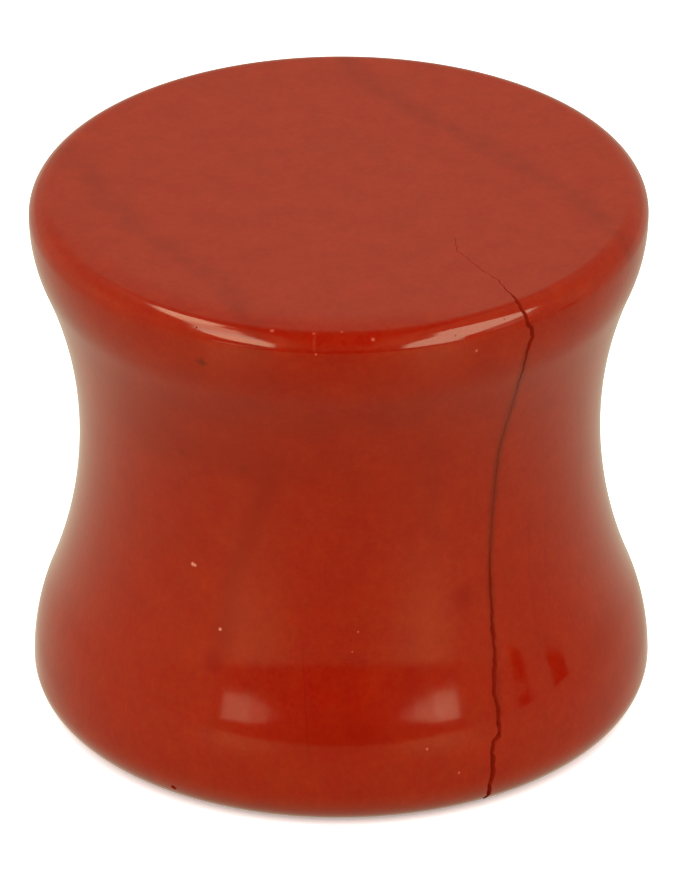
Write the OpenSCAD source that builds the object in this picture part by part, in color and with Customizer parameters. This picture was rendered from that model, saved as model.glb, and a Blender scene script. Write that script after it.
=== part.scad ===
// Double flared ear plug of polished stone, standing on its lower flat.
// Millimetres, +Z up along the plug's axis, origin at the centre of the lower flat.
// The half section is made of arcs that run into each other without a corner:
// a hollow waist, a rounded flank out to the widest plane of each flare, and a
// small edge round from there to the flat.

/* [Wearing surface] */
// Diameter at the waist, where the earlobe sits: the gauge size
waist_d = 12.7; // [10:0.1:20]
// How far each flare stands out past the waist
flare_lip = 1.17; // [0.8:0.01:1.5]

/* [Upper flare] */
// Height of its widest plane above the waist
upper_rim_rise = 5.85; // [5:0.05:7]
// Radius of the rounded flank under the widest plane
upper_flank_r = 3.9; // [3:0.1:5.5]
// Radius of the edge between the widest plane and the upper flat
upper_edge_r = 0.53; // [0.3:0.01:1.5]

/* [Lower flare] */
// Depth of its widest plane below the waist
lower_rim_drop = 6.24; // [5:0.05:7]
// Radius of the rounded flank over the widest plane
lower_flank_r = 5.3; // [3:0.1:5.5]
// Radius of the edge between the widest plane and the lower flat
lower_edge_r = 0.93; // [0.3:0.01:1.5]

/* [Hidden] */
stone = "#9a3a22";
waist_r = waist_d / 2;
flare_r = waist_r + flare_lip;
// Height of the waist plane above the lower flat
waist_height = lower_rim_drop + lower_edge_r;
// The circles are drawn fine enough to show smooth
$fn = 180;

// Radius of the waist arc that leaves the waist upright and touches the flank circle.
// rim is the distance from the waist plane to the flare's widest plane.
function waist_arc_r(rim, flank_r) =
    (pow(rim, 2) + pow(flank_r - flare_lip, 2) - pow(flank_r, 2)) / (2 * flare_lip);

// Where the waist arc touches the flank circle, on the line between their centres
function join_point(rim, flank_r) =
    let (
        arc_r = waist_arc_r(rim, flank_r),
        waist_centre = [waist_r + arc_r, 0],
        flank_centre = [flare_r - flank_r, rim]
    )
    flank_centre + (waist_centre - flank_centre) * flank_r / (arc_r + flank_r);

// Rectangle from one corner to the opposite one
module box_between(low, high) {
    translate(low) square(high - low);
}

// From the waist plane out to the join, hollowed by the waist arc
module waist_part(rim, flank_r) {
    arc_r = waist_arc_r(rim, flank_r);
    difference() {
        box_between([0, 0], join_point(rim, flank_r));
        translate([waist_r + arc_r, 0]) circle(r = arc_r);
    }
}

// From one plane to a higher one, bounded by the circle that is widest at the plane rim
module round_part(low, high, rim, round_r) {
    centre_x = flare_r - round_r;
    box_between([0, low], [centre_x, high]);
    intersection() {
        box_between([centre_x, low], [flare_r, high]);
        translate([centre_x, rim]) circle(r = round_r);
    }
}

// Half section of one flare, from the waist plane at y = 0 to its flat
module flare_section(rim, flank_r, edge_r) {
    waist_part(rim, flank_r);
    round_part(join_point(rim, flank_r)[1], rim, rim, flank_r);
    round_part(rim, rim + edge_r, rim, edge_r);
}

// Half section of the whole plug, with the lower flat at y = 0
module plug_section() {
    translate([0, waist_height]) {
        flare_section(upper_rim_rise, upper_flank_r, upper_edge_r);
        mirror([0, 1]) flare_section(lower_rim_drop, lower_flank_r, lower_edge_r);
    }
}

module plug_body() {
    color(stone) rotate_extrude() plug_section();
}

plug_body();
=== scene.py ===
import math
import random

import bmesh
import bpy
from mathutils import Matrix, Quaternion, Vector


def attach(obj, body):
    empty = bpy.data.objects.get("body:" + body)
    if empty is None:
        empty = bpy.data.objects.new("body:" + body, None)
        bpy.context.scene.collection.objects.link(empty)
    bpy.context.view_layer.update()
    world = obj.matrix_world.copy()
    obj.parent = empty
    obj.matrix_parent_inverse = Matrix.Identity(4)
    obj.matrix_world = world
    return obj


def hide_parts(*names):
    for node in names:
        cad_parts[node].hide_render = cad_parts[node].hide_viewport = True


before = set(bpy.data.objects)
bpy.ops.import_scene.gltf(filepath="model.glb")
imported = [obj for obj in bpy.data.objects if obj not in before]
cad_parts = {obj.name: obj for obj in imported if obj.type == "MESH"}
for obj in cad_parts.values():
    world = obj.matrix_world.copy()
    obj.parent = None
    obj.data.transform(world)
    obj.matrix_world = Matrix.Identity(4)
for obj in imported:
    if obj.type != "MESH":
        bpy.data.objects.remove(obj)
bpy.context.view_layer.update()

mm = 0.001


# From an sRGB hex value to linear red, green, blue and a full alpha
def linearColour(hexCode):
    parts = [int(hexCode[i:i + 2], 16) / 255 for i in (1, 3, 5)]
    return [p / 12.92 if p <= 0.04045 else ((p + 0.055) / 1.055) ** 2.4 for p in parts] + [1.0]


# Adds a node, sets its options, and sets or links its inputs by name or number. In a Mix node of
# colours, inputs 6 and 7 are the two colours and output 2 is the mixed one
def addNode(tree, kind, inputs=None, **options):
    node = tree.nodes.new(kind)
    for name, value in options.items():
        setattr(node, name, value)
    for name, value in (inputs or {}).items():
        if isinstance(value, bpy.types.NodeSocket):
            tree.links.new(value, node.inputs[name])
        else:
            node.inputs[name].default_value = value
    return node


def newMaterial(name):
    material = bpy.data.materials.new(name)
    material.use_nodes = True
    material.node_tree.nodes.clear()
    return material


def newPiece(name, bm, material):
    mesh = bpy.data.meshes.new(name)
    bm.to_mesh(mesh)
    bm.free()
    piece = bpy.data.objects.new(name, mesh)
    bpy.context.scene.collection.objects.link(piece)
    mesh.materials.append(material)
    return piece


# Azimuth 0 is the side towards the camera, and it grows towards +X; degrees
def aimed(azimuth, elevation, distance=1.0):
    a, e = math.radians(azimuth), math.radians(elevation)
    return Vector((math.sin(a) * math.cos(e), -math.cos(a) * math.cos(e), math.sin(e))) * distance


# The same azimuth inside a node tree, from the X and Y of a place or direction, but in radians
def azimuthIn(tree, part):
    toFront = addNode(tree, "ShaderNodeMath", {0: part["Y"], 1: -1.0}, operation="MULTIPLY").outputs[0]
    return addNode(tree, "ShaderNodeMath", {0: part["X"], 1: toFront}, operation="ARCTAN2").outputs[0]


# A long lens from far off, a third of a degree out of level
shot = {
    "elevation": 28.58,  # degrees, as the roll is
    "distance": 500.0,  # mm
    "aimHeight": 6.72,  # mm above the lower flat
    "lens": 839.8,
    "roll": -0.33,
    "clipEnd": 10.0,  # m
}
cameraData = bpy.data.cameras.new("camera")
cameraData.lens = shot["lens"]
cameraData.clip_end = shot["clipEnd"]
camera = bpy.data.objects.new("camera", cameraData)
bpy.context.scene.collection.objects.link(camera)
away = aimed(0, shot["elevation"])
camera.location = Vector((0, 0, shot["aimHeight"] * mm)) + away * shot["distance"] * mm
camera.rotation_mode = "QUATERNION"
camera.rotation_quaternion = (-away).to_track_quat("-Z", "Y") @ Quaternion(
    (0, 0, 1), math.radians(shot["roll"]))
bpy.context.scene.camera = camera
print("camera set")


# The turned stone, in mm. These are the sizes of the part's source
plug = {
    "waistRadius": 6.35,
    "flareRadius": 7.52,
    "waistHeight": 7.17,
    "upper": {"rise": 5.85, "flankRadius": 3.9, "edgeRadius": 0.53},
    "lower": {"rise": 6.24, "flankRadius": 5.3, "edgeRadius": 0.93},
    "hollowSteps": 29,
    "flankSteps": 14,
    "edgeSteps": 16,
    "turnSteps": 360,
    "weld": 0.0002,  # points nearer than this become one
    "sharpFrom": 30.0,  # degrees; only the edges of the crack and the pits are sharper
}
plug["height"] = plug["waistHeight"] + plug["upper"]["rise"] + plug["upper"]["edgeRadius"]

# Polishing by hand has eased the upper flat towards its edge, on the left front only
eased = {
    "width": 0.75,  # mm
    "rings": [0.03, 0.1, 0.2, 0.3, 0.45, 0.6],  # mm in from the flat's edge, so that the flat can bend
    "slope": 4.5,  # degrees at the edge
    "azimuth": -27.0,
    "full": 36.0,  # degrees to each side
    "none": 56.0,
}


# One flare from the waist plane to the axis: waist arc, flank arc, edge round, flat
def flareOutline(flare):
    waistR, flareR = plug["waistRadius"], plug["flareRadius"]
    rise, flankR, edgeR = flare["rise"], flare["flankRadius"], flare["edgeRadius"]
    lip = flareR - waistR
    hollowR = (rise ** 2 + (flankR - lip) ** 2 - flankR ** 2) / (2 * lip)
    touch = math.atan2(rise, waistR + hollowR - (flareR - flankR))
    points = []
    for i in range(plug["hollowSteps"] + 1):
        a = touch * i / plug["hollowSteps"]
        points.append((waistR + hollowR * (1 - math.cos(a)), hollowR * math.sin(a)))
    for i in range(1, plug["flankSteps"] + 1):
        a = -touch * (1 - i / plug["flankSteps"])
        points.append((flareR - flankR * (1 - math.cos(a)), rise + flankR * math.sin(a)))
    for i in range(1, plug["edgeSteps"] + 1):
        a = math.pi / 2 * i / plug["edgeSteps"]
        points.append((flareR - edgeR * (1 - math.cos(a)), rise + edgeR * math.sin(a)))
    top, flatR = rise + edgeR, flareR - edgeR
    for inset in eased["rings"] + [eased["width"]]:
        points.append((flatR - inset, top))
    return points + [(flareR / 2, top), (0, top)]


# Radius and height, from the middle of the lower flat to the middle of the upper one
def plugOutline():
    upper = [(r, plug["waistHeight"] + h) for r, h in flareOutline(plug["upper"])]
    lower = [(r, plug["waistHeight"] - h) for r, h in flareOutline(plug["lower"])]
    return lower[:0:-1] + upper


# Radius of the side. The middles of the flats, nearer the axis than the waist is, are left out
def radiusAt(height):
    points = [p for p in plugOutline() if p[0] >= plug["waistRadius"]]
    for (r0, h0), (r1, h1) in zip(points, points[1:]):
        if h0 <= height <= h1 and h1 > h0:
            return r0 + (r1 - r0) * (height - h0) / (h1 - h0)
    return points[-1][0]


def spotOnSide(azimuth, height):
    side = aimed(azimuth, 0, radiusAt(height))
    return Vector((side.x, side.y, height))


def easeUpperEdge(bm):
    edgeR = plug["upper"]["edgeRadius"]
    flatR = plug["flareRadius"] - edgeR
    widest = plug["height"] - edgeR
    for v in bm.verts:
        x, y, z = v.co / mm
        radius = math.hypot(x, y)
        if z <= widest or radius < flatR - eased["width"]:
            continue
        turn = abs(math.degrees(math.atan2(x, -y)) - eased["azimuth"])
        share = min(1.0, max(0.0, (eased["none"] - turn) / (eased["none"] - eased["full"])))
        share = share * share * (3 - 2 * share)  # eases in and out
        along = min(radius, flatR) - (flatR - eased["width"])
        drop = math.tan(math.radians(eased["slope"])) * along ** 2 / (2 * eased["width"])
        v.co.z -= drop * share * (z - widest) / edgeR * mm


def turnedStone():
    bm = bmesh.new()
    line = [bm.verts.new((r * mm, 0, h * mm)) for r, h in plugOutline()]
    edges = [bm.edges.new(pair) for pair in zip(line, line[1:])]
    bmesh.ops.spin(bm, geom=line + edges, cent=(0, 0, 0), axis=(0, 0, 1), dvec=(0, 0, 0),
                   angle=2 * math.pi, steps=plug["turnSteps"], use_merge=True, use_duplicate=False)
    bmesh.ops.remove_doubles(bm, verts=bm.verts, dist=plug["weld"] * mm)
    easeUpperEdge(bm)
    bmesh.ops.recalc_face_normals(bm, faces=bm.faces)
    return bm


# The long crack. It starts thin on the upper flat, crosses the rim and runs to the lower flat,
# where it steps aside once. A shallow groove with raw walls, wide open under the rim and low down
# and nearly closed between, where its stain carries the line
crack = {
    "onUpperFlat": [(2.8, -2.4), (2.84, -3.02), (3.27, -3.8), (3.82, -4.57), (4.12, -5.33)],  # x, y in mm
    "downTheSide": [(36.7, 13.43), (36.9, 13.26), (37.2, 13.08), (38.2, 12.82), (37.8, 12.64), (37.1, 12.32),
                    (36.9, 11.5), (37.1, 11.1), (36.8, 10.2), (36.2, 9.74), (35.8, 9.3), (35.6, 8.4),
                    (35.4, 7.6), (34.5, 6.4), (34.0, 5.6), (33.9, 5.2), (33.5, 4.5), (32.9, 3.75),
                    (32.1, 3.42), (31.5, 3.1), (31.4, 2.5), (31.2, 2.2), (30.8, 2.0), (29.7, 1.87),
                    (29.2, 1.7), (29.3, 1.5), (29.0, 1.0), (28.6, 0.75), (28.7, 0.3)],  # azimuth, height
    "onLowerFlat": [(3.1, -5.7), (2.9, -5.2), (2.95, -4.8)],
    "step": 0.12,  # mm between bends
    "wander": 0.025,  # mm to each side at a bend
    "uneven": (0.7, 1.25),  # least and most times the section at a bend
    "seed": 11,
    "standOut": 0.03,  # mm that the wedge which cuts it stands out of the stone
    # share of the way, width and depth in mm
    "section": [(0.0, 0.014, 0.005), (0.13, 0.022, 0.008), (0.17, 0.045, 0.014), (0.185, 0.09, 0.04),
                (0.2, 0.12, 0.055), (0.245, 0.11, 0.045), (0.28, 0.05, 0.02), (0.33, 0.018, 0.006),
                (0.56, 0.018, 0.006), (0.61, 0.08, 0.03), (0.68, 0.11, 0.05), (0.95, 0.14, 0.07),
                (1.0, 0.02, 0.01)],
}


def crackSectionAt(share):
    for (s0, w0, d0), (s1, w1, d1) in zip(crack["section"], crack["section"][1:]):
        if share <= s1:
            along = (share - s0) / (s1 - s0)
            return w0 + (w1 - w0) * along, d0 + (d1 - d0) * along
    return crack["section"][-1][1:]


# The crack's bends on the stone, each with the surface's normal and the groove's width and depth
def crackStations(stone):
    rng = random.Random(crack["seed"])
    route = [Vector((x, y, plug["height"])) for x, y in crack["onUpperFlat"]]
    route += [spotOnSide(azimuth, height) for azimuth, height in crack["downTheSide"]]
    route += [Vector((x, y, 0)) for x, y in crack["onLowerFlat"]]
    total = sum((q - p).length for p, q in zip(route, route[1:]))
    stations = []
    run = 0
    for start, end in zip(route, route[1:]):
        length = (end - start).length
        pieces = max(1, round(length / crack["step"]))
        for k in range(pieces):
            at = start.lerp(end, k / pieces)
            at += Vector([rng.uniform(-crack["wander"], crack["wander"]) for axis in range(3)])
            width, depth = crackSectionAt((run + length * k / pieces) / total)
            uneven = rng.uniform(*crack["uneven"])
            spot, normal = stone.closest_point_on_mesh(at * mm)[1:3]
            stations.append((spot, normal, width * uneven, depth * uneven))
        run += length
    return stations


# A three-sided wedge along the crack. Taking it out of the stone leaves the groove
def crackWedge(stone):
    stations = crackStations(stone)
    out = crack["standOut"]
    bm = bmesh.new()
    rings = []
    for i, (spot, normal, width, depth) in enumerate(stations):
        before, after = stations[max(0, i - 1)][0], stations[min(len(stations) - 1, i + 1)][0]
        across = normal.cross(after - before).normalized()
        half = width / 2 * (depth + out) / depth
        corners = [spot + normal * out * mm + across * half * mm,
                   spot + normal * out * mm - across * half * mm,
                   spot - normal * depth * mm]
        ring = [bm.verts.new(c) for c in corners]
        rings.append([bm.edges.new((ring[k], ring[(k + 1) % 3])) for k in range(3)])
    for ringA, ringB in zip(rings, rings[1:]):
        bmesh.ops.bridge_loops(bm, edges=ringA + ringB)
    bmesh.ops.holes_fill(bm, edges=rings[0] + rings[-1], sides=3)
    bmesh.ops.recalc_face_normals(bm, faces=bm.faces)
    return bm


# Dishes cut out of the stone, a pit low down and three nicks in the rim: azimuth in degrees, height
# in mm, radius and depth in mm, and how many times taller than wide
pits = [
    (-33.4, 0.50, 0.08, 0.05, 1.0),
    (-27.6, 13.38, 0.012, 0.004, 2.4),
    (21.9, 13.31, 0.012, 0.004, 2.0),
    (32.4, 13.38, 0.012, 0.004, 1.6),
]


def pitCutters(stone):
    bm = bmesh.new()
    for azimuth, height, radius, depth, tall in pits:
        spot, normal = stone.closest_point_on_mesh(spotOnSide(azimuth, height) * mm)[1:3]
        ball = (radius ** 2 + depth ** 2) / (2 * depth)  # sphere that cuts a dish this wide and deep
        made = bmesh.ops.create_icosphere(bm, subdivisions=4, radius=ball * mm)
        bmesh.ops.scale(bm, verts=made["verts"], vec=(1, 1, tall))
        bmesh.ops.translate(bm, verts=made["verts"], vec=spot + normal * (ball - depth) * mm)
    return bm


# The cutter's own material comes along on to the cut's walls
def cutAway(stone, cutter):
    take = stone.modifiers.new("cut", "BOOLEAN")
    take.operation = "DIFFERENCE"
    take.solver = "EXACT"
    take.material_mode = "TRANSFER"
    take.object = cutter
    view = bpy.context.evaluated_depsgraph_get()
    cut = bpy.data.meshes.new_from_object(stone.evaluated_get(view))
    stone.modifiers.remove(take)
    stone.data = cut
    bpy.data.objects.remove(cutter)


# Red jasper, cut and then polished to a mirror. It is opaque silica full of iron oxide: a deep
# brick red that shows bare only where the gloss has something dark to mirror, and lies under a
# pale veil elsewhere. A fine dusty mottling of all sizes under about a millimetre, two straight
# darker bedding bands across the upper flat, clouds and veins down the side, and single dark,
# plum and pale spots
jasper = {
    "dark": "#9a0601",
    "light": "#a61e02",
    "umber": "#931601",
    "flour": "#b4491c",
    "band": "#8f0e00",
    "darkSpot": "#640f02",
    "plum": "#920000",
    "paleSpeck": "#e48a6c",
    "dullSpeck": "#cc5a44",
    "gloss": "#ffebb3",  # tint of the mirror image seen face on
    "ior": 1.54,
    "roughness": 0.10,
    "roughnessSpread": 0.02,  # up and down, with the crumble
    "rippleDepth": 0.002,  # mm
    "rippleStrength": 0.5,
    "elsewhere": (31.0, 17.0, 5.0),  # mm aside, so that one noise doesn't follow another
    "crumbleValues": (0.3, 0.7),  # usual lowest and highest value of that noise
    "markEdge": (0.8, 1.9),  # half widths out, with the crumble added, where a mark is full and ends
    "speckCore": 0.2,  # share of a pale speck's radius that is full
}

# Its noises: size in mm, detail and roughness, whether it is read elsewhere, then the stretch of
# its values that counts and what that stretch becomes. The crumble breaks the edges of bands,
# clouds and veins, the sway bends the bands by so many mm, and the ripple is what the polish left
jasperNoises = {
    "mottle": (0.9, 6.0, 0.86, False, (0.32, 0.68), (0.0, 1.0)),
    "dusting": (0.9, 6.0, 0.90, True, (0.42, 0.70), (0.0, 0.65)),
    "flour": (0.16, 3.0, 0.80, False, (0.45, 0.75), (0.0, 0.12)),
    "crumble": (0.45, 4.0, 0.75, True, (0.38, 0.58), (0.35, 1.0)),
    "sway": (3.125, 2.0, 0.50, False, (0.0, 1.0), (-0.8, 0.8)),
    "ripple": (10 / 11, 3.0, 0.50, False, (0.0, 1.0), (0.0, 1.0)),
}

# Bedding bands on the upper flat: direction across in degrees from +X towards +Y, offset and half
# width in mm, share. They fade out under the rim
beddingBands = [(37.5, 4.25, 0.52, 0.9), (28.2, -4.98, 0.58, 0.75)]
bandFade = (11.9, 13.2)  # heights in mm where they are gone and full

# Clouds and spots: azimuth, height, half width, half height and depth in mm, colour and share
stoneMarks = [
    (-26.3, 12.50, 0.22, 0.07, 0.3, "darkSpot", 0.45),
    (-26.1, 12.50, 0.08, 0.19, 0.3, "darkSpot", 0.45),
    (-29.0, 12.10, 0.60, 0.35, 0.5, "band", 0.3),
    (-50.0, 10.70, 0.80, 0.45, 0.6, "band", 0.4),
    (-36.0, 10.90, 0.90, 0.40, 0.8, "band", 0.35),
    (-19.0, 11.30, 0.90, 0.40, 0.8, "band", 0.25),
    (-6.0, 10.80, 0.80, 0.45, 1.2, "band", 0.2),
    (12.0, 11.20, 0.90, 0.45, 1.0, "band", 0.2),
    (-20.9, 9.25, 0.15, 0.14, 0.3, "darkSpot", 0.3),
    (-35.6, 9.30, 0.15, 0.12, 0.3, "darkSpot", 0.25),
    (26.9, 5.50, 0.30, 0.36, 0.4, "plum", 0.8),
    (-27.2, 3.95, 0.25, 0.30, 0.4, "plum", 0.7),
    (-15.0, 12.40, 0.90, 0.30, 0.6, "plum", 0.25),
    (-4.7, 13.36, 0.03, 0.20, 0.25, "dullSpeck", 0.13),
    (0.0, 2.50, 1.60, 0.60, 1.0, "band", 0.30),
    (-64.0, 11.60, 1.40, 0.90, 1.2, "band", 0.45),
    (-42.0, 9.60, 1.80, 0.90, 1.6, "band", 0.38),
    (-19.0, 9.40, 1.30, 0.80, 1.6, "band", 0.34),
    (-24.5, 10.70, 0.60, 0.40, 0.8, "band", 0.30),
    (64.0, 2.90, 0.90, 0.60, 0.8, "band", 0.40),
]

# Narrow veins down the side: (azimuth, height) on the way, half width in mm, colour and share.
# The last two are the stain that the crack has left in the stone: wide and faint all along it,
# narrow and dark where the groove is nearly closed
veins = [
    ([(-16.0, 9.4), (-16.6, 8.6), (-19.1, 7.8), (-21.8, 7.0), (-24.2, 6.0), (-25.1, 5.0), (-25.6, 4.2)],
     0.48, "band", 0.52),
    ([(19.4, 10.2), (20.2, 8.6), (20.6, 6.9)], 0.38, "band", 0.26),
    ([(47.0, 8.2), (45.5, 6.0), (44.5, 3.8)], 0.10, "band", 0.3),
    ([(52.0, 7.6), (50.0, 5.0)], 0.09, "band", 0.25),
    ([(59.5, 9.8), (66.0, 7.8), (64.0, 6.2)], 0.20, "band", 0.45),
    ([(-8.1, 4.6), (-7.2, 3.3), (-6.2, 2.1)], 0.025, "band", 0.8),
    ([(37.1, 12.32), (36.9, 11.1), (36.2, 9.74), (35.6, 8.4), (34.5, 6.4), (33.5, 4.5), (31.4, 2.5)],
     0.20, "darkSpot", 0.38),
    (crack["downTheSide"][3:17], 0.115, "darkSpot", 0.5),
]
veinEdge = {
    "radius": 6.6,  # mm, the side's usual one, which makes an angle a length
    "widest": 1.6,  # times the half width, as the crumble goes
    "narrowest": 0.5,
    "fadePast": 0.4,  # mm past each end where the vein is gone, and short of it where it is full
    "fadeShort": 0.3,
}

# Small pale specks: azimuth, height and radius in mm, colour
paleSpecks = [
    (-34.0, 6.20, 0.075, "paleSpeck"), (-33.4, 6.19, 0.055, "paleSpeck"), (-26.3, 4.74, 0.06, "paleSpeck"),
    (-13.0, 13.52, 0.08, "dullSpeck"), (-4.9, 13.52, 0.06, "dullSpeck"), (-4.3, 13.12, 0.04, "dullSpeck"),
    (0.5, 13.54, 0.06, "dullSpeck"), (6.3, 13.42, 0.07, "dullSpeck"), (25.9, 12.80, 0.055, "dullSpeck"),
    (16.2, 2.05, 0.05, "dullSpeck"), (22.2, 1.30, 0.045, "dullSpeck"), (3.6, 4.99, 0.035, "dullSpeck"),
    (2.3, 4.50, 0.03, "dullSpeck"),
]


# Share of a vein that follows its way down the side, 1 in its middle
def veinShare(tree, turn, height, crumble, way, halfWidth):
    way = sorted(way, key=lambda point: point[1])
    lowest, highest = way[0][1], way[-1][1]
    past, short = veinEdge["fadePast"], veinEdge["fadeShort"]
    heightShare = addNode(tree, "ShaderNodeMath", {
        0: height, 1: plug["height"]}, operation="DIVIDE").outputs[0]
    course = addNode(tree, "ShaderNodeFloatCurve", {"Value": heightShare})
    line = course.mapping.curves[0].points
    for i, (azimuth, z) in enumerate(way):
        at = (z / plug["height"], azimuth / 180 + 0.5)  # its 0 to 1 stands for azimuth -90 to 90
        if i < 2:  # a new curve has two points
            line[i].location = at
        else:
            line.new(*at)
    course.mapping.update()
    centre = addNode(tree, "ShaderNodeMapRange", {
        "Value": course.outputs[0], "To Min": -math.pi / 2, "To Max": math.pi / 2}).outputs[0]
    apart = addNode(tree, "ShaderNodeMath", {0: turn, 1: centre}, operation="SUBTRACT").outputs[0]
    aside = addNode(tree, "ShaderNodeMath", {0: apart}, operation="ABSOLUTE").outputs[0]
    inMm = addNode(tree, "ShaderNodeMath", {0: aside, 1: veinEdge["radius"]}, operation="MULTIPLY").outputs[0]
    ragged = addNode(tree, "ShaderNodeMapRange", {
        "Value": crumble, "From Min": jasper["crumbleValues"][0], "From Max": jasper["crumbleValues"][1],
        "To Min": veinEdge["widest"] * halfWidth, "To Max": veinEdge["narrowest"] * halfWidth}).outputs[0]
    inside = addNode(tree, "ShaderNodeMapRange", {
        "Value": inMm, "From Min": ragged, "From Max": 0.0}, interpolation_type="SMOOTHSTEP").outputs[0]
    fromFoot = addNode(tree, "ShaderNodeMapRange", {
        "Value": height, "From Min": lowest - past, "From Max": lowest + short}).outputs[0]
    toHead = addNode(tree, "ShaderNodeMapRange", {
        "Value": height, "From Min": highest + past, "From Max": highest - short}).outputs[0]
    within = addNode(tree, "ShaderNodeMath", {0: fromFoot, 1: toHead}, operation="MULTIPLY").outputs[0]
    return addNode(tree, "ShaderNodeMath", {0: inside, 1: within}, operation="MULTIPLY").outputs[0]


def polishedJasper():
    material = newMaterial("polishedRedJasper")
    tree = material.node_tree
    place = addNode(tree, "ShaderNodeTexCoord").outputs["Object"]
    # from here on a length of 1 is a millimetre
    inMm = addNode(tree, "ShaderNodeMapping", {"Vector": place, "Scale": (1000, 1000, 1000)}).outputs[0]
    elsewhere = addNode(tree, "ShaderNodeMapping", {
        "Vector": inMm, "Location": jasper["elsewhere"]}).outputs[0]
    part = addNode(tree, "ShaderNodeSeparateXYZ", {"Vector": inMm}).outputs
    turn = azimuthIn(tree, part)
    height = part["Z"]

    noises, shares = {}, {}
    for name, (size, detail, roughness, moved, values, becomes) in jasperNoises.items():
        noises[name] = addNode(tree, "ShaderNodeTexNoise", {
            "Vector": elsewhere if moved else inMm, "Scale": 1 / size, "Detail": detail,
            "Roughness": roughness}).outputs["Fac"]
        shares[name] = addNode(tree, "ShaderNodeMapRange", {
            "Value": noises[name], "From Min": values[0], "From Max": values[1],
            "To Min": becomes[0], "To Max": becomes[1]}).outputs[0]
    crumble = noises["crumble"]

    # what lies over the mottling, from below up: how much, and which colour
    layers = [(shares["dusting"], "umber"), (shares["flour"], "flour")]
    onTop = addNode(tree, "ShaderNodeMapRange", {
        "Value": height, "From Min": bandFade[0], "From Max": bandFade[1]}).outputs[0]
    broken = addNode(tree, "ShaderNodeMath", {
        0: shares["crumble"], 1: onTop}, operation="MULTIPLY").outputs[0]
    for direction, offset, halfWidth, share in beddingBands:
        a = math.radians(direction)
        across = addNode(tree, "ShaderNodeVectorMath", {
            0: inMm, 1: (math.cos(a), math.sin(a), 0.0)}, operation="DOT_PRODUCT").outputs["Value"]
        off = addNode(tree, "ShaderNodeMath", {0: across, 1: offset}, operation="SUBTRACT").outputs[0]
        swayed = addNode(tree, "ShaderNodeMath", {0: off, 1: shares["sway"]}, operation="ADD").outputs[0]
        distance = addNode(tree, "ShaderNodeMath", {0: swayed}, operation="ABSOLUTE").outputs[0]
        inside = addNode(tree, "ShaderNodeMapRange", {
            "Value": distance, "From Min": halfWidth, "From Max": 0.0, "To Max": share},
            interpolation_type="SMOOTHSTEP").outputs[0]
        amount = addNode(tree, "ShaderNodeMath", {0: inside, 1: broken}, operation="MULTIPLY").outputs[0]
        layers.append((amount, "band"))
    for way, halfWidth, name, share in veins:
        inside = veinShare(tree, turn, height, crumble, way, halfWidth)
        amount = addNode(tree, "ShaderNodeMath", {0: inside, 1: share}, operation="MULTIPLY").outputs[0]
        layers.append((amount, name))
    for azimuth, z, halfWidth, halfHeight, depth, name, share in stoneMarks:
        local = addNode(tree, "ShaderNodeMapping", {
            "Vector": inMm, "Location": spotOnSide(azimuth, z),
            "Rotation": (0, 0, math.radians(azimuth)), "Scale": (halfWidth, depth, halfHeight)},
            vector_type="TEXTURE").outputs[0]
        distance = addNode(tree, "ShaderNodeVectorMath", {0: local}, operation="LENGTH").outputs["Value"]
        ragged = addNode(tree, "ShaderNodeMath", {0: distance, 1: crumble}, operation="ADD").outputs[0]
        amount = addNode(tree, "ShaderNodeMapRange", {
            "Value": ragged, "From Min": jasper["markEdge"][1], "From Max": jasper["markEdge"][0],
            "To Max": share}, interpolation_type="SMOOTHSTEP").outputs[0]
        layers.append((amount, name))
    for azimuth, z, radius, name in paleSpecks:
        distance = addNode(tree, "ShaderNodeVectorMath", {
            0: inMm, 1: spotOnSide(azimuth, z)}, operation="DISTANCE").outputs["Value"]
        amount = addNode(tree, "ShaderNodeMapRange", {
            "Value": distance, "From Min": radius, "From Max": jasper["speckCore"] * radius},
            interpolation_type="SMOOTHSTEP").outputs[0]
        layers.append((amount, name))

    colour = addNode(tree, "ShaderNodeMix", {
        "Factor": shares["mottle"], 6: linearColour(jasper["dark"]), 7: linearColour(jasper["light"])},
        data_type="RGBA").outputs[2]
    for amount, name in layers:
        colour = addNode(tree, "ShaderNodeMix", {
            "Factor": amount, 6: colour, 7: linearColour(jasper[name])}, data_type="RGBA").outputs[2]

    bump = addNode(tree, "ShaderNodeBump", {
        "Strength": jasper["rippleStrength"], "Distance": jasper["rippleDepth"] * mm,
        "Height": shares["ripple"]})
    shine = addNode(tree, "ShaderNodeMapRange", {
        "Value": crumble, "From Min": jasper["crumbleValues"][0], "From Max": jasper["crumbleValues"][1],
        "To Min": jasper["roughness"] - jasper["roughnessSpread"],
        "To Max": jasper["roughness"] + jasper["roughnessSpread"]})
    shader = addNode(tree, "ShaderNodeBsdfPrincipled", {
        "Base Color": colour, "Roughness": shine.outputs[0], "IOR": jasper["ior"],
        "Specular Tint": linearColour(jasper["gloss"]), "Normal": bump.outputs[0]})
    addNode(tree, "ShaderNodeOutputMaterial", {"Surface": shader.outputs[0]})
    return material


# The walls of the crack and the pits: raw broken jasper. The same red, a little darker, bare
# because a broken face this rough mirrors nothing
rawWall = {
    "dark": "#7a1501",
    "light": "#9a1f05",
    "crumbs": 9000.0,  # to the metre
    "crumbDetail": 3.0,
    "roughness": 1.0,
    "specular": 0.05,
}


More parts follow.
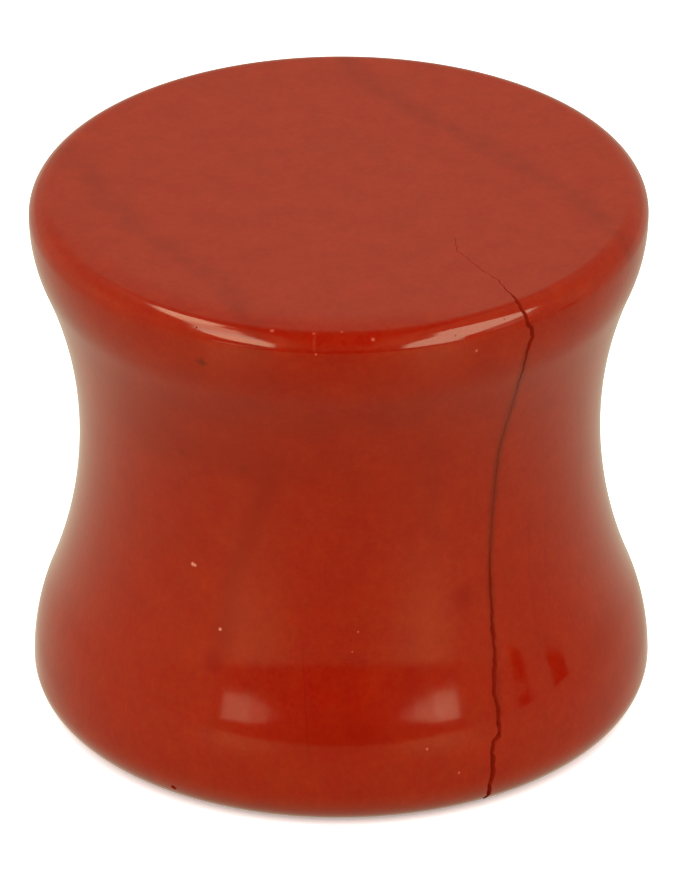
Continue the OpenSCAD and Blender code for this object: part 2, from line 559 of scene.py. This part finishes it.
def brokenJasper():
    material = newMaterial("rawBrokenJasper")
    tree = material.node_tree
    place = addNode(tree, "ShaderNodeTexCoord").outputs["Object"]
    crumbs = addNode(tree, "ShaderNodeTexNoise", {
        "Vector": place, "Scale": rawWall["crumbs"], "Detail": rawWall["crumbDetail"]})
    colour = addNode(tree, "ShaderNodeMix", {
        "Factor": crumbs.outputs["Fac"], 6: linearColour(rawWall["dark"]),
        7: linearColour(rawWall["light"])}, data_type="RGBA")
    shader = addNode(tree, "ShaderNodeBsdfPrincipled", {
        "Base Color": colour.outputs[2], "Roughness": rawWall["roughness"], "IOR": jasper["ior"],
        "Specular IOR Level": rawWall["specular"]})
    addNode(tree, "ShaderNodeOutputMaterial", {"Surface": shader.outputs[0]})
    return material


jasperMaterial, wallMaterial = polishedJasper(), brokenJasper()
stone = newPiece("stone_plug", turnedStone(), jasperMaterial)
print("stone turned:", len(stone.data.polygons), "faces")
cutAway(stone, newPiece("wedge", crackWedge(stone), wallMaterial))
print("crack cut:", len(stone.data.polygons), "faces")
cutAway(stone, newPiece("pits", pitCutters(stone), wallMaterial))
print("pits cut:", len(stone.data.polygons), "faces")
stone.data.shade_smooth()
stone.data.set_sharp_from_angle(angle=math.radians(plug["sharpFrom"]))
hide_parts("plug_body")
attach(stone, "root")


# A small white light tent with a bank of soft light to each side. A dark opening runs from the
# front low down, over the top and down the back. Brightness is 1 for white; directions are azimuth
# from the front towards +X, and elevation or pitch, in degrees, seen from the stone. The walls,
# the opening and the two floors are what the gloss mirrors
studio = {
    "floorSeen": "#fdfbf8",
    "skySeen": 1.0,
    "floorBounce": 0.55,
    "floorReach": 3.0,  # m from the middle
    "warmth": "#fff4d6",  # tint of all that the gloss mirrors, apart from the panels
    "opening": [(0, 0.0), (13, 0.0), (22, 0.17), (33, 0.18), (45, 0.12), (60, 0.06), (75, 0.04), (100, 0.04),
                (115, 0.07), (128, 0.20), (138, 0.30), (147, 0.45), (152, 0.52), (180, 0.55)],  # by pitch
    "openingHalf": (0.15, 0.24),  # sine of the half width, inner and outer
    "walls": [(-180, 0.55), (-150, 0.50), (-120, 0.62), (-100, 0.66), (-85, 0.54), (-66, 0.44), (-50, 0.42),
              (-45.5, 0.24), (-38, 0.16), (-25, 0.11), (-14, 0.07), (14, 0.07), (25, 0.11), (38, 0.2),
              (45, 0.25), (49, 0.34), (66, 0.38), (85, 0.44), (93, 0.56), (106, 0.50), (120, 0.46),
              (150, 0.50), (180, 0.55)],  # by azimuth
    "ceiling": 0.42,
    "ceilingFrom": (0.3, 0.7),  # sine of the elevation where it starts and is full
    # The floor as the gloss mirrors it glows, by azimuth near the stone and far off. The near levels hold the
    # stone's own shadow on the floor, painted in
    "floorNear": [(-180, 0.83), (-165, 0.78), (-150, 0.73), (-128, 0.74), (-105, 0.67), (-90, 0.58),
                  (-75, 0.53), (-62, 0.50), (-50, 0.48), (-30, 0.44), (-12, 0.41), (0, 0.39), (12, 0.41),
                  (30, 0.44), (50, 0.47), (62, 0.48), (75, 0.51), (98, 0.56), (112, 0.63), (128, 0.69),
                  (150, 0.67), (165, 0.74), (180, 0.83)],
    "floorFar": [(-180, 0.83), (-165, 0.78), (-150, 0.70), (-130, 0.68), (-115, 0.60), (-100, 0.57),
                 (-85, 0.54), (-70, 0.54), (-50, 0.56), (-46, 0.64), (-40, 0.85), (-33, 0.82), (-26, 0.67),
                 (-17, 0.42), (-8, 0.34), (0, 0.32), (8, 0.35), (17, 0.48), (26, 0.75), (33, 0.90),
                 (39, 0.78), (44, 0.60), (48, 0.50), (60, 0.49), (70, 0.44), (85, 0.43), (100, 0.49),
                 (115, 0.55), (130, 0.60), (150, 0.62), (165, 0.71), (180, 0.83)],
    "farFrom": (13.0, 30.0),  # mm from the axis where the far floor starts and is full
    "footGlow": (7.6, 9.4, 0.25),  # mm from and to, and how much brighter
    "paintedContactShadow": [(6.86, 0.26), (7.13, 0.58), (7.36, 1.0)],  # floor seen under the edge, in a painted shadow: radius in mm and how much the glow brightens it, less towards the stone
    "contactTint": "#fff3ec",
}

# Panels that only the gloss sees: distance in mm, colour, brightness, then corners as azimuth and
# elevation seen from the stone. The banks give the rim its bright shapes, the skirts under them
# the two low on the belly. The two clips are near, stand low and are dark
panels = {
    "bankLeftLow": (300, "#faf2ff", 6.1, [(-23, 19), (-33, 24), (-43, 29), (-50, 34), (-55, 38), (-47, 47),
                                          (-32, 47), (-26, 38)]),
    "bankLeftMiddle": (300, "#d2e2ff", 6.4, [(-55, 38), (-58, 41), (-68, 50), (-58, 59), (-46, 59),
                                             (-35, 51), (-32, 47), (-47, 47)]),
    "bankLeftHigh": (300, "#f4f2ff", 4.1, [(-68, 50), (-76, 56), (-100, 60), (-104, 69), (-90, 72),
                                           (-64, 67), (-50, 61), (-46, 59), (-58, 59)]),
    "bankLeftBack": (300, "#fff5f4", 5.6, [(-100, 60), (-125, 58), (-150, 54), (-148, 63), (-135, 69),
                                           (-104, 69)]),
    "skirtLeftOuter": (300, "#fff5ff", 1.8, [(-44.5, 5.3), (-34, 6.3), (-34, 11.5), (-44.5, 11)]),
    "skirtLeftMiddle": (300, "#fff5ff", 1.2, [(-34, 6.3), (-27.5, 8.3), (-27.5, 12.5), (-34, 11.5)]),
    "skirtLeftInner": (300, "#fff5ff", 0.5, [(-27.5, 8.3), (-21, 11.5), (-22, 14), (-27.5, 12.5)]),
    "bankRight": (300, "#dfeaff", 5.6, [(22, 12), (31, 11), (39, 9), (42, 10), (46, 20), (51, 22),
                                        (58, 27), (67, 30), (76, 33), (84, 38), (88, 43), (84, 52),
                                        (76, 60), (64, 65), (52, 62), (40, 48), (30, 39), (24, 28)]),
    "bankRightVeil": (300, "#fff5ff", 0.9, [(54, 13), (60, 10), (72, 20), (80, 31), (76, 33), (67, 30),
                                            (58, 27), (52, 22)]),
    "skirtRightOuter": (300, "#fff5ff", 2.2, [(34.5, 6.0), (43.5, 5.0), (44, 10), (34.5, 10.5)]),
    "skirtRightMiddle": (300, "#fff5ff", 1.4, [(27, 8.3), (34.5, 6.0), (34.5, 10.5), (27, 11.5)]),
    "skirtRightInner": (300, "#fff5ff", 0.7, [(21, 11.0), (27, 8.3), (27, 11.5), (22, 12)]),
    "clipNear": (50, "#ffffff", 0.0, [(64, -5.8), (69.2, -5.8), (69.2, -0.6), (64, -0.6)]),
    "clipFar": (50, "#ffffff", 0.0, [(79.5, -6.1), (87, -6.1), (87, -2.5), (79.5, -2.5)]),
}


def buildPanels():
    stoneMiddle = Vector((0, 0, plug["height"] / 2 * mm))
    for name, (distance, colour, strength, corners) in panels.items():
        bm = bmesh.new()
        ring = [bm.verts.new(aimed(a, e, distance * mm) + stoneMiddle) for a, e in corners]
        face = bm.faces.new(ring)
        bmesh.ops.triangulate(bm, faces=[face])
        material = newMaterial(name)
        glow = addNode(material.node_tree, "ShaderNodeEmission", {
            "Color": linearColour(colour), "Strength": strength})
        addNode(material.node_tree, "ShaderNodeOutputMaterial", {"Surface": glow.outputs[0]})
        panel = newPiece(name, bm, material)
        panel.visible_camera = False
        panel.visible_diffuse = False
        panel.visible_shadow = False


# Soft light on the stone itself: brightness all round, then broad glows by azimuth, elevation and
# brightness in their middle
softLight = {
    "allRound": 0.52,
    "glows": [(-80, 15, 1.65), (80, 15, 1.44), (0, 10, 1.43), (0, 90, 0.89)],
    "falloff": 4.0,  # power of the cosine
}


def softLightLevel(tree, direction):
    level = softLight["allRound"]
    for azimuth, elevation, strength in softLight["glows"]:
        facing = addNode(tree, "ShaderNodeVectorMath", {
            0: direction, 1: aimed(azimuth, elevation)}, operation="DOT_PRODUCT").outputs["Value"]
        ahead = addNode(tree, "ShaderNodeMath", {0: facing, 1: 0.0}, operation="MAXIMUM").outputs[0]
        glow = addNode(tree, "ShaderNodeMath", {
            0: ahead, 1: softLight["falloff"]}, operation="POWER").outputs[0]
        level = addNode(tree, "ShaderNodeMath", {
            0: glow, 1: strength, 2: level}, operation="MULTIPLY_ADD").outputs[0]
    return level


# A brightness by angle, as a ramp over the angles from first to last
def levelByAngle(tree, angle, levels):
    first, last = levels[0][0], levels[-1][0]
    share = addNode(tree, "ShaderNodeMapRange", {
        "Value": angle, "From Min": math.radians(first), "From Max": math.radians(last)}).outputs[0]
    node = addNode(tree, "ShaderNodeValToRGB", {"Fac": share})
    for i, (degrees, level) in enumerate(levels):
        position = (degrees - first) / (last - first)
        # a new ramp has two stops
        stop = node.color_ramp.elements[i] if i < 2 else node.color_ramp.elements.new(position)
        stop.position = position
        stop.color = (level, level, level, 1)
    return node.outputs["Color"]


# What lights the stone, what its gloss mirrors and what the camera sees are three different shaders
def shadedByRay(tree, lighting, mirrored, seen):
    path = addNode(tree, "ShaderNodeLightPath").outputs
    onStone = addNode(tree, "ShaderNodeMixShader", {
        0: path["Is Glossy Ray"], 1: lighting.outputs[0], 2: mirrored.outputs[0]})
    return addNode(tree, "ShaderNodeMixShader", {
        0: path["Is Camera Ray"], 1: onStone.outputs[0], 2: seen.outputs[0]}).outputs[0]


# Matt white card. The camera sees it white, brightened by a glow that falls off under the stone's edge: a
# narrow painted shadow there, over the card's own soft shadow
def buildFloor():
    bm = bmesh.new()
    bmesh.ops.create_grid(bm, x_segments=1, y_segments=1, size=studio["floorReach"])
    material = newMaterial("matWhiteSweep")
    tree = material.node_tree
    place = addNode(tree, "ShaderNodeTexCoord").outputs["Object"]
    part = addNode(tree, "ShaderNodeSeparateXYZ", {"Vector": place}).outputs
    turn = azimuthIn(tree, part)
    out = addNode(tree, "ShaderNodeVectorMath", {0: place}, operation="LENGTH").outputs["Value"]
    near = levelByAngle(tree, turn, studio["floorNear"])
    far = levelByAngle(tree, turn, studio["floorFar"])
    farStarts, farFull = studio["farFrom"]
    farShare = addNode(tree, "ShaderNodeMapRange", {
        "Value": out, "From Min": farStarts * mm, "From Max": farFull * mm}).outputs[0]
    level = addNode(tree, "ShaderNodeMix", {"Factor": farShare, "A": near, "B": far}).outputs[0]
    footFull, footEnds, footLevel = studio["footGlow"]
    foot = addNode(tree, "ShaderNodeMapRange", {
        "Value": out, "From Min": footEnds * mm, "From Max": footFull * mm, "To Max": footLevel}).outputs[0]
    footed = addNode(tree, "ShaderNodeMath", {0: level, 1: foot}, operation="ADD").outputs[0]
    # To the gloss the floor glows, with a painted shadow of the stone in its near levels and a painted
    # brightening round the foot
    mirrored = addNode(tree, "ShaderNodeEmission", {
        "Color": linearColour(studio["warmth"]), "Strength": footed})

    card = addNode(tree, "ShaderNodeBsdfDiffuse", {"Color": linearColour(studio["floorSeen"])})
    # The glow's strength by distance from the axis, low next to the stone: a painted shadow under its edge
    glow = studio["paintedContactShadow"][0][1]
    for (r0, g0), (r1, g1) in zip(studio["paintedContactShadow"], studio["paintedContactShadow"][1:]):
        step = addNode(tree, "ShaderNodeMapRange", {
            "Value": out, "From Min": r0 * mm, "From Max": r1 * mm, "To Max": g1 - g0}).outputs[0]
        glow = addNode(tree, "ShaderNodeMath", {0: step, 1: glow}, operation="ADD").outputs[0]
    paintedShadowLift = addNode(tree, "ShaderNodeEmission", {
        "Color": linearColour(studio["contactTint"]), "Strength": glow})
    seen = addNode(tree, "ShaderNodeAddShader", {0: card.outputs[0], 1: paintedShadowLift.outputs[0]})

    bounce = studio["floorBounce"]
    lighting = addNode(tree, "ShaderNodeBsdfDiffuse", {"Color": (bounce, bounce, bounce, 1)})
    surface = shadedByRay(tree, lighting, mirrored, seen)
    addNode(tree, "ShaderNodeOutputMaterial", {"Surface": surface})
    floor = newPiece("floor", bm, material)


def buildTent():
    world = bpy.data.worlds.new("lightTent")
    world.use_nodes = True
    tree = world.node_tree
    tree.nodes.clear()
    toSky = addNode(tree, "ShaderNodeTexCoord").outputs["Generated"]
    part = addNode(tree, "ShaderNodeSeparateXYZ", {"Vector": toSky}).outputs
    turn = azimuthIn(tree, part)
    toFront = addNode(tree, "ShaderNodeMath", {0: part["Y"], 1: -1.0}, operation="MULTIPLY").outputs[0]
    pitch = addNode(tree, "ShaderNodeMath", {0: part["Z"], 1: toFront}, operation="ARCTAN2").outputs[0]
    opening = levelByAngle(tree, pitch, studio["opening"])
    walls = levelByAngle(tree, turn, studio["walls"])
    isHigh = addNode(tree, "ShaderNodeMapRange", {
        "Value": part["Z"], "From Min": studio["ceilingFrom"][0], "From Max": studio["ceilingFrom"][1]},
        interpolation_type="SMOOTHSTEP").outputs[0]
    around = addNode(tree, "ShaderNodeMix", {
        "Factor": isHigh, "A": walls, "B": studio["ceiling"]}).outputs[0]
    aside = addNode(tree, "ShaderNodeMath", {0: part["X"]}, operation="ABSOLUTE").outputs[0]
    isAround = addNode(tree, "ShaderNodeMapRange", {
        "Value": aside, "From Min": studio["openingHalf"][0], "From Max": studio["openingHalf"][1]},
        interpolation_type="SMOOTHSTEP").outputs[0]
    level = addNode(tree, "ShaderNodeMix", {"Factor": isAround, "A": opening, "B": around}).outputs[0]
    mirrored = addNode(tree, "ShaderNodeBackground", {
        "Color": linearColour(studio["warmth"]), "Strength": level})
    lighting = addNode(tree, "ShaderNodeBackground", {"Strength": softLightLevel(tree, toSky)})
    seen = addNode(tree, "ShaderNodeBackground", {"Strength": studio["skySeen"]})
    surface = shadedByRay(tree, lighting, mirrored, seen)
    addNode(tree, "ShaderNodeOutputWorld", {"Surface": surface})
    bpy.context.scene.world = world


buildFloor()
buildPanels()
buildTent()
bpy.context.scene.view_settings.view_transform = "Standard"
print("studio lit")
